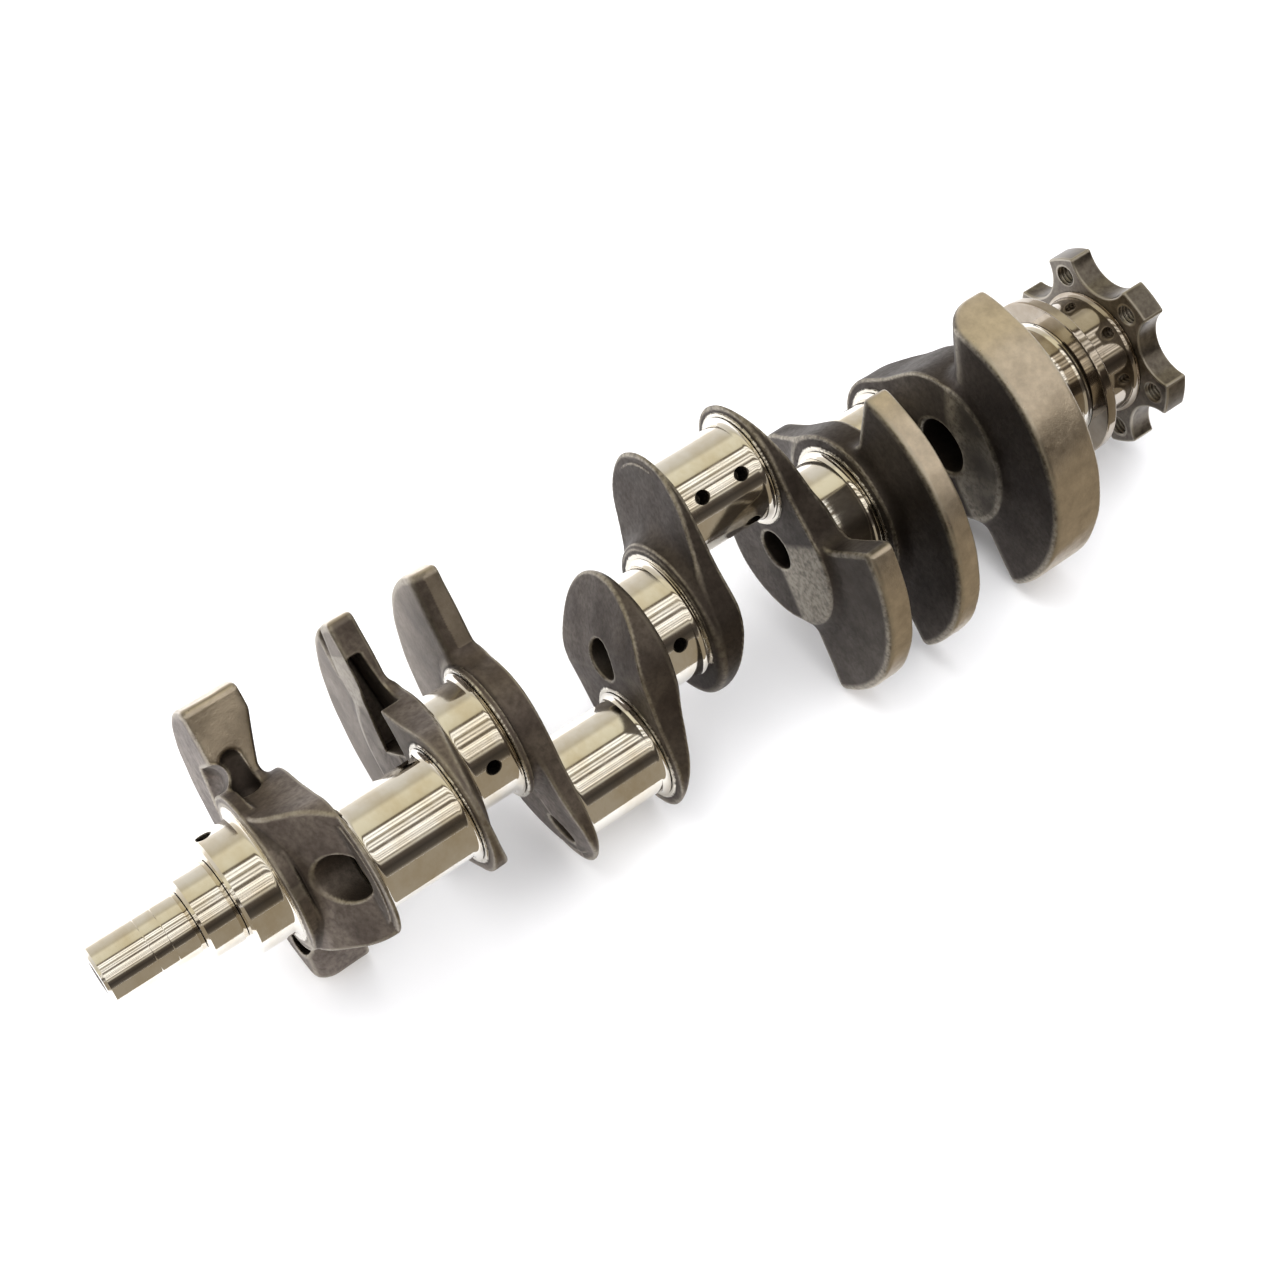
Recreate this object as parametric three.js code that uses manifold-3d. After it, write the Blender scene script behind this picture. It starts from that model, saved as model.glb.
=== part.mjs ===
// One-piece forged crankshaft for a V8 engine with the rod journals at 90 degrees to each other.
// The shaft lies along +X, snout first, flange last, and rests on its counterweights with +Z up.
// The forging is drawn as the sections it is machined in: they meet on planes across the shaft,
// and each counterweight meets its web along the web's outline.
// Shaft coordinates: x = 0 at the middle of the third main journal, y = z = 0 on the main axis.
import * as THREE from "three";
import { mergeVertices } from "three/addons/utils/BufferGeometryUtils.js";
import Module from "manifold-3d";

const wasm = await Module();
wasm.setup();

// ---- Driving dimensions, millimetres and degrees ----
const PITCH = 111.76; // cylinder spacing: distance from one main journal to the next
const THROW = 47.6; // main axis to rod journal axis, half the stroke
const MAIN_R = 31.1;
const PIN_R = 26.67;
const MAIN_LENGTH = 24.6; // ground length of main journals 2, 3 and 4
const PIN_LENGTH = 48; // each rod journal carries two connecting rods
const FILLET = 3; // rolled fillet where a journal runs into its web
const SNOUT_R = 15.84;
const SNOUT_TIP = -311;
const SEAT_FRONT = -263.4;
const SEAT_R = 21.4;
const MAIN_1_FRONT = -245;
const MAIN_1_REAR = -224;
const MAIN_5_FRONT = 226.6;
const SLINGER_FRONT = 269;
const SLINGER_REAR = 275.5;
const SLINGER_R = 46;
const SEAL_R = 33.5;
const FLANGE_FRONT = 302;
const FLANGE_REAR = 316;
const FLANGE_R = 55.5;
const FLANGE_WAIST_R = 40; // bottom of the scallops between the flange lobes
const LOBE_COUNT = 6;
const LOBE_HALF_ANGLE = 10.5;
const LOBE_ANGLE = 44.6;
const BOLT_CIRCLE_R = 45.5;
const THREAD_R = 5.5;
const PILOT_R = 13.9;
const PILOT_DEPTH = 36;
const SNOUT_BORE_DEPTH = 45;
const CHAMFER = 1.5; // broken edges of the snout and the gear seat
const SLINGER_CHAMFER = 1;
const HUB_R = 40; // web outline around the main axis
const BOSS_R = 37; // web outline around the rod journal axis
const COLLAR = 1; // ground pad that stands out from the web round each journal
const COLLAR_WIDTH = 5;
const COUNTERWEIGHT_R = 85.5;
const WEIGHT_ROOT_R = 26.7; // a counterweight's sector starts here, inside its web's outline
const BEVEL_START = 42; // distance from the main axis at which a web's boss bevel starts
const PIN_BORE_R = 12.5; // lightening bore along a rod journal
const PIN_BORE_OFFSET = 8; // how far it lies outside the rod journal's own axis
const PIN_BORE_END = 10; // metal left between its blind end and the journal's far end
const MAIN_BORE_R = 11; // lightening bore along a main journal
const MAIN_BORE_END = 8; // its blind end, beyond the middle of the journal
const REAR_MAIN_BORE_R = 19;
const REAR_MAIN_BORE_DEPTH = 12; // how far it runs on into the rear main journal
const OIL_HOLE_R = 3;
const OIL_HOLE_DEPTH = 12;
const MAIN_OIL_ANGLE = 143;
const PIN_OIL_TURN = 75; // oil holes of a rod journal, turned from the line through both axes
const GAP = 0.3; // clearance where one section of the forging was split from the next
const OVERCUT = 1; // how far a cutting tool stands out of the face it opens on
const ROUND = 32; // facets round a journal
const PIN_ANGLES = [135, 225, 45, 315]; // from +Y towards +Z, seen along the shaft
const REST_ROLL = 10.38; // how the shaft comes to rest on its counterweights
const REST_PITCH = 3.56;

// ---- Geometry helpers ----
const radians = (degrees) => (degrees * Math.PI) / 180;
const polar = (radius, degrees) =>
  new THREE.Vector2(radius * Math.cos(radians(degrees)), radius * Math.sin(radians(degrees)));

// A closed three.js geometry as a manifold solid.
function solid(geometry) {
  const bare = geometry.clone();
  bare.deleteAttribute("normal");
  bare.deleteAttribute("uv");
  const merged = mergeVertices(bare, 1e-4);
  const vertProperties = new Float32Array(merged.attributes.position.array);
  const triVerts = new Uint32Array(merged.index.array);
  return new wasm.Manifold(new wasm.Mesh({ numProp: 3, vertProperties, triVerts }));
}

// A manifold solid as a three.js geometry.
function geometryOf(body) {
  const mesh = body.getMesh();
  const geometry = new THREE.BufferGeometry();
  geometry.setAttribute("position", new THREE.BufferAttribute(new Float32Array(mesh.vertProperties), 3));
  geometry.setIndex(new THREE.BufferAttribute(new Uint32Array(mesh.triVerts), 1));
  geometry.computeVertexNormals();
  return geometry;
}

// An outline in the (y, z) plane, extruded along the shaft from x0 to x1.
function plate(shape, x0, x1, curveSegments = 8) {
  const geometry = new THREE.ExtrudeGeometry(shape, { depth: x1 - x0, bevelEnabled: false, curveSegments });
  const yzToX = new THREE.Matrix4().makeBasis(
    new THREE.Vector3(0, 1, 0),
    new THREE.Vector3(0, 0, 1),
    new THREE.Vector3(1, 0, 0),
  );
  geometry.applyMatrix4(yzToX);
  const position = geometry.attributes.position;
  const middle = (x1 - x0) / 2;
  for (let i = 0; i < position.count; i++) {
    position.setX(i, position.getX(i) < middle ? x0 : x1);
  }
  return solid(geometry);
}

// A turned body about a line parallel to the shaft; the profile is a list of [radius, x].
function turned(profile, centre, segments = ROUND) {
  const points = profile.map(([radius, x]) => new THREE.Vector2(radius, x));
  const geometry = new THREE.LatheGeometry(points, segments);
  const axisToX = new THREE.Matrix4().makeBasis(
    new THREE.Vector3(0, 1, 0),
    new THREE.Vector3(1, 0, 0),
    new THREE.Vector3(0, 0, -1),
  );
  geometry.applyMatrix4(axisToX);
  geometry.translate(0, centre.x, centre.y);
  return solid(geometry);
}

const rod = (radius, x0, x1, centre, segments = 24) =>
  turned([[0, x0], [radius, x0], [radius, x1], [0, x1]], centre, segments);

// A short radial drilling that opens on a journal of the given radius.
function oilHole(x, journalRadius, degrees, centre) {
  const length = OIL_HOLE_DEPTH + 4 * OVERCUT;
  const geometry = new THREE.CylinderGeometry(OIL_HOLE_R, OIL_HOLE_R, length, 12);
  geometry.translate(0, journalRadius - OIL_HOLE_DEPTH + length / 2, 0);
  geometry.rotateX(radians(degrees));
  geometry.translate(x, centre.x, centre.y);
  return solid(geometry);
}

// A journal with a rolled fillet at each end, from x0 to x1.
function journal(radius, x0, x1, centre) {
  const frontFillet = [0, 45, 90].map((turn) => [
    radius + FILLET * (1 - Math.sin(radians(turn))),
    x0 + FILLET * (1 - Math.cos(radians(turn))),
  ]);
  const rearFillet = frontFillet.map(([r, x]) => [r, x1 - (x - x0)]).reverse();
  return turned([[0, x0], ...frontFillet, ...rearFillet, [0, x1]], centre);
}

// The outline of a web: a line drawn tight round the hub circle and the rod boss circle.
function webOutline(pinAngle, extra = 0) {
  const hub = HUB_R + extra;
  const boss = BOSS_R + extra;
  const spread = (Math.acos((hub - boss) / THROW) * 180) / Math.PI;
  const centre = polar(THROW, pinAngle);
  const shape = new THREE.Shape();
  shape.absarc(0, 0, hub, radians(pinAngle + spread), radians(pinAngle + 360 - spread), false);
  shape.absarc(centre.x, centre.y, boss, radians(pinAngle - spread), radians(pinAngle + spread), false);
  return shape;
}

// A counterweight's outline: a sector of the counterweight circle, down to the main axis.
function sectorOutline(fromAngle, toAngle) {
  const shape = new THREE.Shape();
  const start = polar(COUNTERWEIGHT_R, fromAngle);
  shape.moveTo(start.x, start.y);
  shape.absarc(0, 0, COUNTERWEIGHT_R, radians(fromAngle), radians(toAngle), false);
  shape.absarc(0, 0, WEIGHT_ROOT_R, radians(toAngle), radians(fromAngle), true);
  return shape;
}

// The flange: six square-ended lobes with round scallops between them.
function flangeOutline() {
  const shape = new THREE.Shape();
  const step = 360 / LOBE_COUNT;
  const half = step / 2 - LOBE_HALF_ANGLE;
  const chordR = FLANGE_R * Math.cos(radians(half));
  const halfChord = FLANGE_R * Math.sin(radians(half));
  const sag = chordR - FLANGE_WAIST_R;
  const scallopR = (halfChord ** 2 + sag ** 2) / (2 * sag);
  const turn = (Math.asin(halfChord / scallopR) * 180) / Math.PI;
  for (let i = 0; i < LOBE_COUNT; i++) {
    const lobe = LOBE_ANGLE + i * step;
    const scallop = lobe + step / 2;
    const centre = polar(FLANGE_WAIST_R + scallopR, scallop);
    const from = radians(lobe - LOBE_HALF_ANGLE);
    shape.absarc(0, 0, FLANGE_R, from, radians(lobe + LOBE_HALF_ANGLE), false);
    shape.absarc(
      centre.x,
      centre.y,
      scallopR,
      radians(scallop + 180 + turn),
      radians(scallop + 180 - turn),
      true,
    );
  }
  return shape;
}

// A large tilted block that takes the corner off a web round its rod boss. The cut starts at the
// web face (x = face) at `inner` from the main axis and has gone `drop` deep at the boss tip;
// `side` is -1 for a face that looks forward and +1 for one that looks back.
function bossBevel(face, side, inner, drop, pinAngle) {
  const tip = THROW + BOSS_R;
  const slope = Math.atan2(drop, tip - inner);
  const size = 2 * COUNTERWEIGHT_R;
  const geometry = new THREE.BoxGeometry(size, size, size);
  geometry.translate(side * (size / 2), size / 4, 0);
  geometry.rotateZ(side * slope);
  geometry.translate(face, inner, 0);
  geometry.rotateX(radians(pinAngle));
  return solid(geometry);
}

// ---- Layout along the shaft ----
const mainX = [0, 1, 2, 3, 4].map((i) => (i - 2) * PITCH);
const pinX = [0, 1, 2, 3].map((i) => (i - 1.5) * PITCH);
const axis = new THREE.Vector2(0, 0);
const pinCentre = PIN_ANGLES.map((angle) => polar(THROW, angle));
const pinBoreCentre = PIN_ANGLES.map((angle) => polar(THROW + PIN_BORE_OFFSET, angle));
const mains = mainX.map((x) => [x - MAIN_LENGTH / 2, x + MAIN_LENGTH / 2]);
mains[0] = [MAIN_1_FRONT, MAIN_1_REAR];
mains[4] = [MAIN_5_FRONT, SLINGER_FRONT];
const pins = pinX.map((x) => [x - PIN_LENGTH / 2, x + PIN_LENGTH / 2]);

// Each web lies between a main journal and a rod journal. `bevel` is how deep its main-side face
// is cut back at the boss tip; `weight` is its counterweight's arc and its two faces.
const webs = [
  { main: 0, pin: 0, bevel: 30, weight: { arc: [-114, 40], x: [MAIN_1_REAR, -193] } },
  { main: 1, pin: 0, bevel: 10, weight: { arc: [-94, 38], x: [pins[0][1], -128] } },
  { main: 1, pin: 1, bevel: 16, weight: { arc: [-51, 43], x: [-98.5, -83] } },
  { main: 2, pin: 1, bevel: 12 },
  { main: 2, pin: 2, bevel: 12 },
  { main: 3, pin: 2, bevel: 12, weight: { arc: [130, 225], x: [83, 98.5] } },
  { main: 3, pin: 3, bevel: 10, weight: { arc: [85, 215], x: [128.6, pins[3][0]] } },
  { main: 4, pin: 3, bevel: 26, weight: { arc: [71, 217], x: [193.5, MAIN_5_FRONT] } },
];

// Blind lightening bores, each cut through every section it passes. Main bore 2 opens to the rear
// of its journal, 3 and 4 open to the front.
const middleBores = [1, 2, 3].map((i) => {
  const opensBack = i === 1;
  const mouth = mainX[i] + (opensBack ? 1 : -1) * (PITCH - PIN_LENGTH) / 2;
  const end = mainX[i] + (opensBack ? -1 : 1) * MAIN_BORE_END;
  return rod(MAIN_BORE_R, Math.min(mouth, end), Math.max(mouth, end), axis, 16);
});
const pinBores = pins.map(([x0, x1], i) => {
  const opensFront = i < 2;
  const from = opensFront ? mains[i][1] - OVERCUT : x0 + PIN_BORE_END;
  const to = opensFront ? x1 - PIN_BORE_END : mains[i + 1][0] + OVERCUT;
  return rod(PIN_BORE_R, from, to, pinBoreCentre[i], 20);
});
const bores = [
  ...middleBores,
  ...pinBores,
  rod(REAR_MAIN_BORE_R, pins[3][1] - OVERCUT, MAIN_5_FRONT + REAR_MAIN_BORE_DEPTH, axis, 20),
  rod(MAIN_BORE_R, MAIN_1_REAR - MAIN_BORE_END, pins[0][0] + OVERCUT, axis, 16),
];
const snoutBore = rod(THREAD_R, SNOUT_TIP - OVERCUT, SNOUT_TIP + SNOUT_BORE_DEPTH, axis, 16);
const pilotBore = rod(PILOT_R, FLANGE_REAR - PILOT_DEPTH, FLANGE_REAR + OVERCUT, axis, 24);

const shaft = new THREE.Group();

function add(name, body, color, roughness, metalness) {
  const material = new THREE.MeshStandardMaterial({ color, roughness, metalness });
  const mesh = new THREE.Mesh(geometryOf(body), material);
  mesh.name = name;
  shaft.add(mesh);
}

const ground = (name, body) => add(name, body, 0xcfc8b8, 0.18, 1);
const forged = (name, body) => add(name, body, 0x5f5a54, 0.5, 1);
const cutAll = (body, cutters) => cutters.reduce((rest, cutter) => rest.subtract(cutter), body);

// ---- Snout ----
const snoutProfile = [
  [0, SNOUT_TIP],
  [SNOUT_R - CHAMFER, SNOUT_TIP],
  [SNOUT_R, SNOUT_TIP + CHAMFER],
  [SNOUT_R, SEAT_FRONT - GAP],
  [0, SEAT_FRONT - GAP],
];
ground("snout", turned(snoutProfile, axis).subtract(snoutBore));
const seatProfile = [
  [0, SEAT_FRONT],
  [SEAT_R - CHAMFER, SEAT_FRONT],
  [SEAT_R, SEAT_FRONT + CHAMFER],
  [SEAT_R, MAIN_1_FRONT - GAP],
  [0, MAIN_1_FRONT - GAP],
];
ground("timing_gear_seat", turned(seatProfile, axis));

// ---- Main journals ----
mains.forEach(([x0, x1], i) => {
  const rear = x1 - GAP;
  const oil = oilHole((x0 + x1) / 2, MAIN_R, MAIN_OIL_ANGLE, axis);
  ground(`main_journal_${i + 1}`, cutAll(journal(MAIN_R, x0, rear, axis), [oil, ...bores]));
});

// ---- Rod journals, each with one oil hole for each connecting rod ----
pins.forEach(([x0, x1], i) => {
  const holes = [-1, 1].map((side) =>
    oilHole(pinX[i] + side * (PIN_LENGTH / 4), PIN_R, PIN_ANGLES[i] + PIN_OIL_TURN, pinCentre[i]),
  );
  ground(`rod_journal_${i + 1}`, cutAll(journal(PIN_R, x0, x1 - GAP, pinCentre[i]), [...holes, ...bores]));
});

// ---- Webs and counterweights ----
webs.forEach(({ main, pin, bevel, weight }, i) => {
  const looksBack = main > pin;
  const angle = PIN_ANGLES[pin];
  const x0 = looksBack ? pins[pin][1] : mains[main][1];
  const x1 = (looksBack ? mains[main][0] : pins[pin][0]) - GAP;
  const mainFace = looksBack ? x1 - COLLAR : x0 + COLLAR;
  const pinFace = looksBack ? x0 + COLLAR : x1 - COLLAR;
  const side = looksBack ? 1 : -1;
  const faces = [Math.min(mainFace, pinFace), Math.max(mainFace, pinFace)];
  const beveled = plate(webOutline(angle), ...faces).subtract(
    bossBevel(mainFace, side, BEVEL_START, bevel, angle),
  );
  const frontCollar = [x0, x0 + 2 * COLLAR];
  const rearCollar = [x1 - 2 * COLLAR, x1];
  const mainRange = looksBack ? rearCollar : frontCollar;
  const mainCollar = rod(MAIN_R + COLLAR_WIDTH, ...mainRange, axis, ROUND);
  const pinRange = looksBack ? frontCollar : rearCollar;
  const pinCollar = rod(PIN_R + COLLAR_WIDTH, ...pinRange, pinCentre[pin], ROUND);
  forged(`web_${i + 1}`, cutAll(beveled.add(mainCollar).add(pinCollar), bores));
  if (weight) {
    const body = plate(sectorOutline(...weight.arc), ...weight.x, 24);
    const clear = plate(webOutline(angle, GAP), x0 - OVERCUT, x1 + OVERCUT);
    forged(`counterweight_${i + 1}`, body.subtract(clear));
  }
});

// ---- Rear end ----
const slingerProfile = [
  [0, SLINGER_FRONT],
  [SLINGER_R - SLINGER_CHAMFER, SLINGER_FRONT],
  [SLINGER_R, SLINGER_FRONT + SLINGER_CHAMFER],
  [SLINGER_R, SLINGER_REAR - GAP],
  [0, SLINGER_REAR - GAP],
];
ground("oil_slinger", turned(slingerProfile, axis));
ground("rear_seal_journal", rod(SEAL_R, SLINGER_REAR, FLANGE_FRONT - GAP, axis, ROUND).subtract(pilotBore));
const flangeHoles = Array.from({ length: LOBE_COUNT }, (_, i) => {
  const centre = polar(BOLT_CIRCLE_R, LOBE_ANGLE + (i * 360) / LOBE_COUNT);
  return rod(THREAD_R, FLANGE_FRONT - OVERCUT, FLANGE_REAR + OVERCUT, centre, 16);
});
const flange = plate(flangeOutline(), FLANGE_FRONT, FLANGE_REAR, 8);
forged("flywheel_flange", cutAll(flange, [...flangeHoles, pilotBore]));

// Set down on its counterweights, the shaft lies with its flange a little low. The part's own
// origin is the middle of its box in plan, at the height of the surface it rests on.
shaft.rotation.set(radians(REST_ROLL), radians(REST_PITCH), 0, "YXZ");
const bounds = new THREE.Box3().setFromObject(shaft, true);
const middle = bounds.getCenter(new THREE.Vector3());
shaft.position.set(-middle.x, -middle.y, -bounds.min.z);
const group = new THREE.Group();
group.add(shaft);
export default group;
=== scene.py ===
# A forged V8 crankshaft at rest on a pale studio floor.
# Shapes are worked out in shaft coordinates: millimetres, x along the shaft from snout to flange,
# x = 0 in the middle of the third main journal, angles from +y towards +z. One matrix, taken from
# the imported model, then carries them into the frame's metres.
import math

import bpy
import numpy as np
from mathutils import Matrix, Vector


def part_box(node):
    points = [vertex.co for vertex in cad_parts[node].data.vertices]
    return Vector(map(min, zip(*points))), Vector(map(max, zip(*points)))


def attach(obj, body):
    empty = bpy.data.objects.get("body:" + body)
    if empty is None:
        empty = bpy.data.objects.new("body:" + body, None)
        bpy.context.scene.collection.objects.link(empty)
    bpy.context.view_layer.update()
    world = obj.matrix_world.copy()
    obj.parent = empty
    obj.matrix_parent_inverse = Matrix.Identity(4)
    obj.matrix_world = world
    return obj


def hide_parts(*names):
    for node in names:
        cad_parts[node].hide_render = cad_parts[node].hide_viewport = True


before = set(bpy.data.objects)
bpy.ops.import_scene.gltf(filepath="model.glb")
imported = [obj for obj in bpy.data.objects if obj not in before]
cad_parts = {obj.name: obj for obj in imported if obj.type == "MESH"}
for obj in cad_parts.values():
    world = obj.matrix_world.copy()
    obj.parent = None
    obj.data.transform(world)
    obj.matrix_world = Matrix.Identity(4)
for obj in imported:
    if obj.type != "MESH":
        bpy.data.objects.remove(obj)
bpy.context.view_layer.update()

# ---- Driving dimensions, millimetres and degrees ----
PITCH = 111.76
MAIN_R = 31.1
PIN_R = 26.67
MAIN_LENGTH = 24.6
PIN_LENGTH = 48.0
PIN_ANGLES = (135.0, 225.0, 45.0, 315.0)
GAP = 0.3  # the CAD's clearance between neighbouring sections
FILLET = 3.0  # rolled fillet at each end of a journal
BEVEL = 1.5  # turned outer edges of the front end
SNOUT_R = 15.84
SNOUT_TIP = -311.0
SEAT_FRONT = -263.4
SEAT_R = 21.4
MAIN_1_FRONT = -245.0
MAIN_1_REAR = -224.0
MAIN_5_FRONT = 226.6
SLINGER_FRONT = 269.0
SLINGER_REAR = 275.5
SLINGER_R = 46.0
SEAL_R = 33.5
FLANGE_FRONT = 302.0
FLANGE_REAR = 316.0
FLANGE_R = 55.5
FLANGE_WAIST_R = 40.0
LOBES = 6
LOBE_ANGLE = 44.6
LOBE_HALF_ANGLE = 10.5
BOLT_CIRCLE_R = 45.5
THREAD_R = 5.5
THREAD_PITCH = 2.2  # coarser than a real one, so that the mesh carries it
THREAD_DEPTH = 0.45
PILOT_R = 13.9
PILOT_DEPTH = 36.0
SNOUT_BORE_DEPTH = 45.0
SNOUT_BORE_MOUTH = 3.0
SNOUT_GROOVES = (-286.0, -277.0)
GROOVE_DEPTH = 0.25
GROOVE_HALF_WIDTH = 0.4
RELIEF_SLOPE = 1.0  # length of the step down into the undercut before a shoulder
SNOUT_RELIEF = (3.0, 0.6)  # length and depth of the undercut
SEAT_RELIEF = (2.5, 0.7)
SLINGER_EDGE = 1.2
SEAL_FRONT_FILLET = 2.0
SEAL_REAR_FILLET = 2.5
HUB_R = 40.0
BOSS_R = 37.0
COUNTERWEIGHT_R = 85.5
PAD = 1.0  # how far a ground pad stands out of its web
PAD_WIDTH = 5.0
PAD_DEPTH = 4.0
HUB_BLEND = 10.0  # width of the soft hollow between a hub and its arm
WEIGHT_FILLET = 9.0  # between a web and its counterweight
RAMP_ROUNDING = 6.0
SLOPE_ROUNDING = 3.0
ARM_EDGE = 1.7  # edge radii of a web: its main-side outline, its hub, its rod-side outline
HUB_EDGE = 1.5
BACK_EDGE = 1.2
RING_EDGE = 0.8
RING_FILLET = 1.5
PAD_EDGE = 0.4
PAD_FILLET = 0.8
POCKET_MOUTH = 1.5
BORE_MOUTH = 1.2
REAR_BORE_MOUTH = 2.5
WAVE_DEPTH = 0.16  # low waves of the forged skin
WAVE_LENGTH = 9.0
WAIST_SLOPE = 0.35
SLOT_LIP = 5.0  # length of a slot's wall that keeps its full height
SLOT_LEAN = 0.35  # how fast the rest of the wall draws back below its flank
RIM = 3.0  # metal left where a ramp would run out through the rod-side face
PIN_BORE_R = 12.5
PIN_BORE_OFFSET = 8.0
PIN_BORE_END = 10.0
MAIN_BORE_R = 11.0
MAIN_BORE_END = 8.0
REAR_MAIN_BORE_R = 16.0
REAR_MAIN_BORE_DEPTH = 12.0
OIL_HOLE_R = 3.5
OIL_HOLE_DEPTH = 12.0
OIL_HOLE_MOUTH = 0.9
PIN_OIL_TURN = 75.0  # oil holes of a rod journal, turned from the line through both axes
CLEAR = 3.0  # how far a cutter stands out of the face it opens on
SEGMENTS = 192  # facets round a turned surface
WEB_STEP = 1.0  # grid of a forging's mesh
FLANGE_STEP = 0.5  # finer, for the threads
FLANGE_MARGIN = 2.0
GRID_MARGIN = 3.0
HUB_MARGIN = 4.0  # how far the rings and fillets of a hub may reach
NORMAL_REACH = 0.15
BEND_REACH = 1.2
MM = 0.001

MAIN_X = [(i - 2) * PITCH for i in range(5)]
PIN_X = [(i - 1.5) * PITCH for i in range(4)]
MAINS = [(x - MAIN_LENGTH / 2, x + MAIN_LENGTH / 2) for x in MAIN_X]
MAINS[0] = (MAIN_1_FRONT, MAIN_1_REAR)
MAINS[4] = (MAIN_5_FRONT, SLINGER_FRONT)
PINS = [(x - PIN_LENGTH / 2, x + PIN_LENGTH / 2) for x in PIN_X]
# The oil hole of each main journal: x and angle. The last two are out of sight from above.
MAIN_OIL = [(-240, 44), (MAIN_X[1] + 0.4, 143), (MAIN_X[2] - 0.3, 140), (MAIN_X[3], 260), (247, 260)]


# ---- The shaft's place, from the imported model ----
def box_centre(node):
    low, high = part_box(node)
    return (low + high) / 2


def shaft_matrix():
    """Shaft millimetres to frame metres, and the throw in millimetres."""
    front = box_centre("main_journal_2")
    rear = box_centre("main_journal_4")
    along = (rear - front).normalized()
    origin = (front + rear) / 2 + along * (GAP / 2 * MM)
    offset = box_centre("rod_journal_1") - origin
    radial = offset - along * offset.dot(along)
    to_pin = radial.normalized()
    beside = along.cross(to_pin)
    turn = math.radians(PIN_ANGLES[0])
    y_axis = to_pin * math.cos(turn) - beside * math.sin(turn)
    z_axis = to_pin * math.sin(turn) + beside * math.cos(turn)
    columns = [along * MM, y_axis * MM, z_axis * MM, origin]
    rows = [[column[i] for column in columns] for i in range(3)] + [[0, 0, 0, 1]]
    return Matrix(rows), radial.length / MM


SHAFT, THROW = shaft_matrix()
SHAFT_ROTATION = np.array(SHAFT.to_3x3()) / MM


def polar(radius, degrees):
    return radius * math.cos(math.radians(degrees)), radius * math.sin(math.radians(degrees))


PIN_CENTRES = [polar(THROW, angle) for angle in PIN_ANGLES]
PIN_BORE_CENTRES = [polar(THROW + PIN_BORE_OFFSET, angle) for angle in PIN_ANGLES]


# ---- Distance functions: negative inside, in millimetres ----
def smooth_min(a, b, width):
    """The union of two solids with a soft hollow between them."""
    mix = np.clip(0.5 + 0.5 * (b - a) / width, 0, 1)
    return b * (1 - mix) + a * mix - width * mix * (1 - mix)


def round_max(a, b, radius):
    """What two solids have in common, its edge rounded to the radius."""
    outside = np.hypot(np.maximum(radius + a, 0), np.maximum(radius + b, 0))
    return np.minimum(-radius, np.maximum(a, b)) + outside


def round_min(a, b, radius):
    """The union of two solids with a fillet of the radius."""
    inside = np.hypot(np.maximum(radius - a, 0), np.maximum(radius - b, 0))
    return np.maximum(radius, np.minimum(a, b)) - inside


def cut(solid, tool, radius):
    """The solid less the tool, with the mouth rounded to the radius."""
    return round_max(solid, -tool, radius)


def uneven_capsule(s, t, hub, boss, length):
    """A circle at the origin and one at s = length, wrapped by a tight band."""
    t = np.abs(t)
    lean = (hub - boss) / length
    rise = math.sqrt(1 - lean * lean)
    band = t * rise + s * lean - hub
    at_hub = np.hypot(s, t) - hub
    at_boss = np.hypot(s - length, t) - boss
    side = s * rise - t * lean
    return np.where(side < 0, at_hub, np.where(side > rise * length, at_boss, band))


def ripple(x, y, z, depth, length):
    """Low waves of a forged skin."""
    a = np.sin((1.3 * x + 0.7 * y - 0.4 * z) / length + 0.5)
    b = np.sin((0.3 * x - 1.1 * y + 0.9 * z) / length + 1.9)
    c = np.sin((-0.8 * x + 0.5 * y + 1.2 * z) / (0.6 * length) + 4.1)
    return depth * (a * b + 0.6 * c)


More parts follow.
